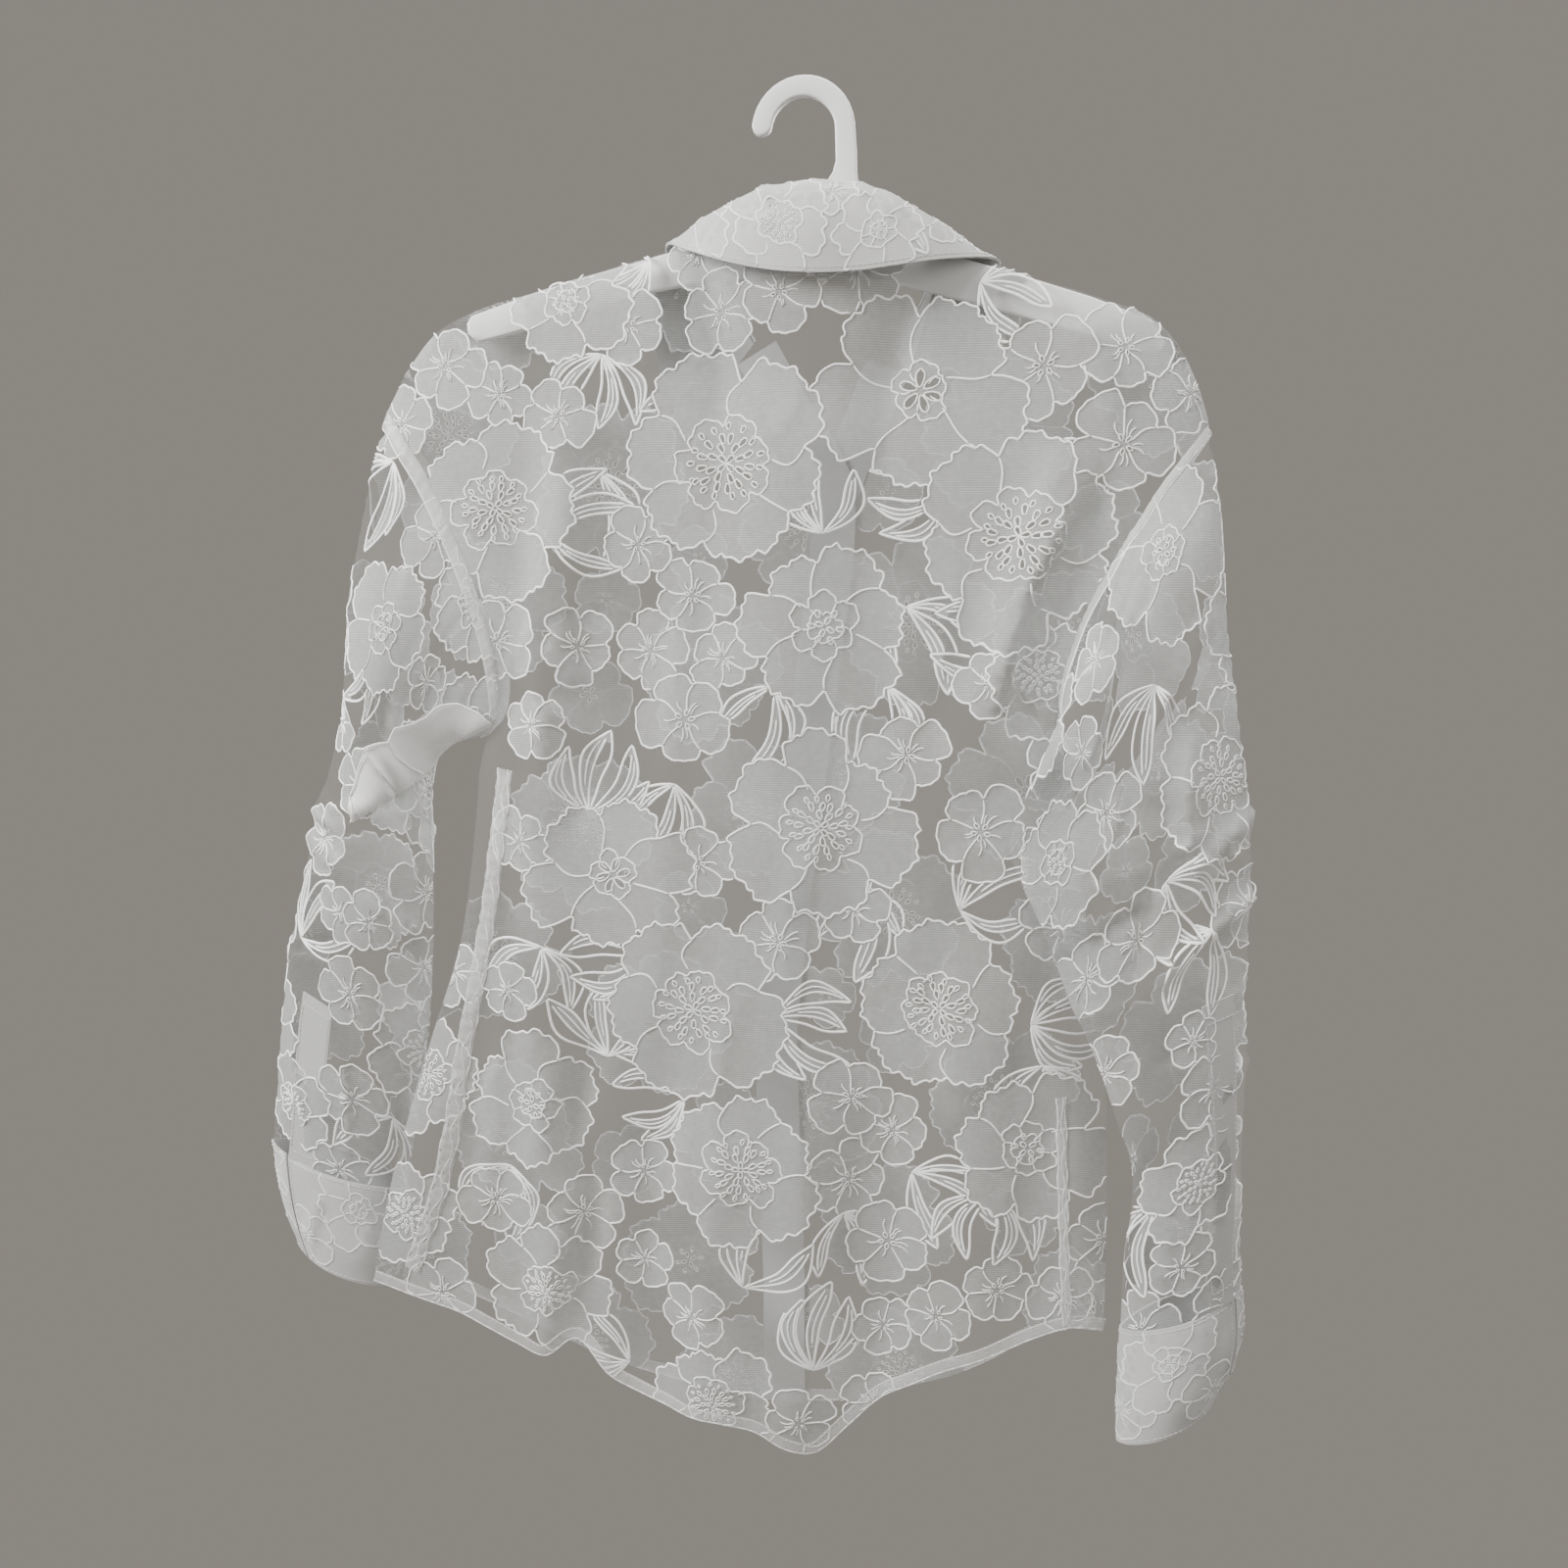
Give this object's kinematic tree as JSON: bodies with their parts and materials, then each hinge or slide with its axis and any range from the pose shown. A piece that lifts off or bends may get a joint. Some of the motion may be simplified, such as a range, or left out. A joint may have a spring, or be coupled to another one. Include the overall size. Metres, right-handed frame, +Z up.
{
  "type": "embroidered shirt on a hanger",
  "caption": "Long-sleeved button shirt of sheer embroidered cloth with a turned-down collar and cuffs, hung open-necked on a flat hook hanger.",
  "frame": {"origin": "highest point inside the hanger's hook, where a rail's top touches it", "axes": "+Z up along the hanging shirt's length, +X from the wearer's left to the wearer's right, +Y from the shirt's back to its front"},
  "size_m": [0.6351, 0.0858, 0.8394],
  "materials": {
    "hanger": "plain white moulded plastic",
    "back": "sheer white organza with corded flowers",
    "front_left": "sheer white organza with corded flowers",
    "front_right": "sheer white organza with corded flowers",
    "sleeve_left": "sheer white organza with corded flowers",
    "sleeve_right": "sheer white organza with corded flowers",
    "cuff_left": "lined opaque white band",
    "cuff_right": "lined opaque white band",
    "collar_stand": "lined opaque white band",
    "collar_fall": "lined opaque white collar",
    "sleeve_placket_left": "opaque white band",
    "sleeve_placket_right": "opaque white band",
    "placket_left": "opaque white button band",
    "placket_right": "opaque white button band",
    "button": "pale pearl-like plastic"
  },
  "bodies": {
    "root": {"hanger": "hanger", "back": "back", "front_left": "front_left", "front_right": "front_right", "sleeve_left": "sleeve_left", "sleeve_right": "sleeve_right", "cuff_left": "cuff_left", "cuff_right": "cuff_right", "collar_stand": "collar_stand", "collar_fall": "collar_fall", "sleeve_placket_left": "sleeve_placket_left", "sleeve_placket_right": "sleeve_placket_right", "placket_left": "placket_left", "placket_right": "placket_right", "button_1": "button", "button_2": "button", "button_3": "button", "button_4": "button", "button_5": "button", "button_6": "button", "button_cuff_left": "button", "button_cuff_right": "button"}
  },
  "joints": []
}
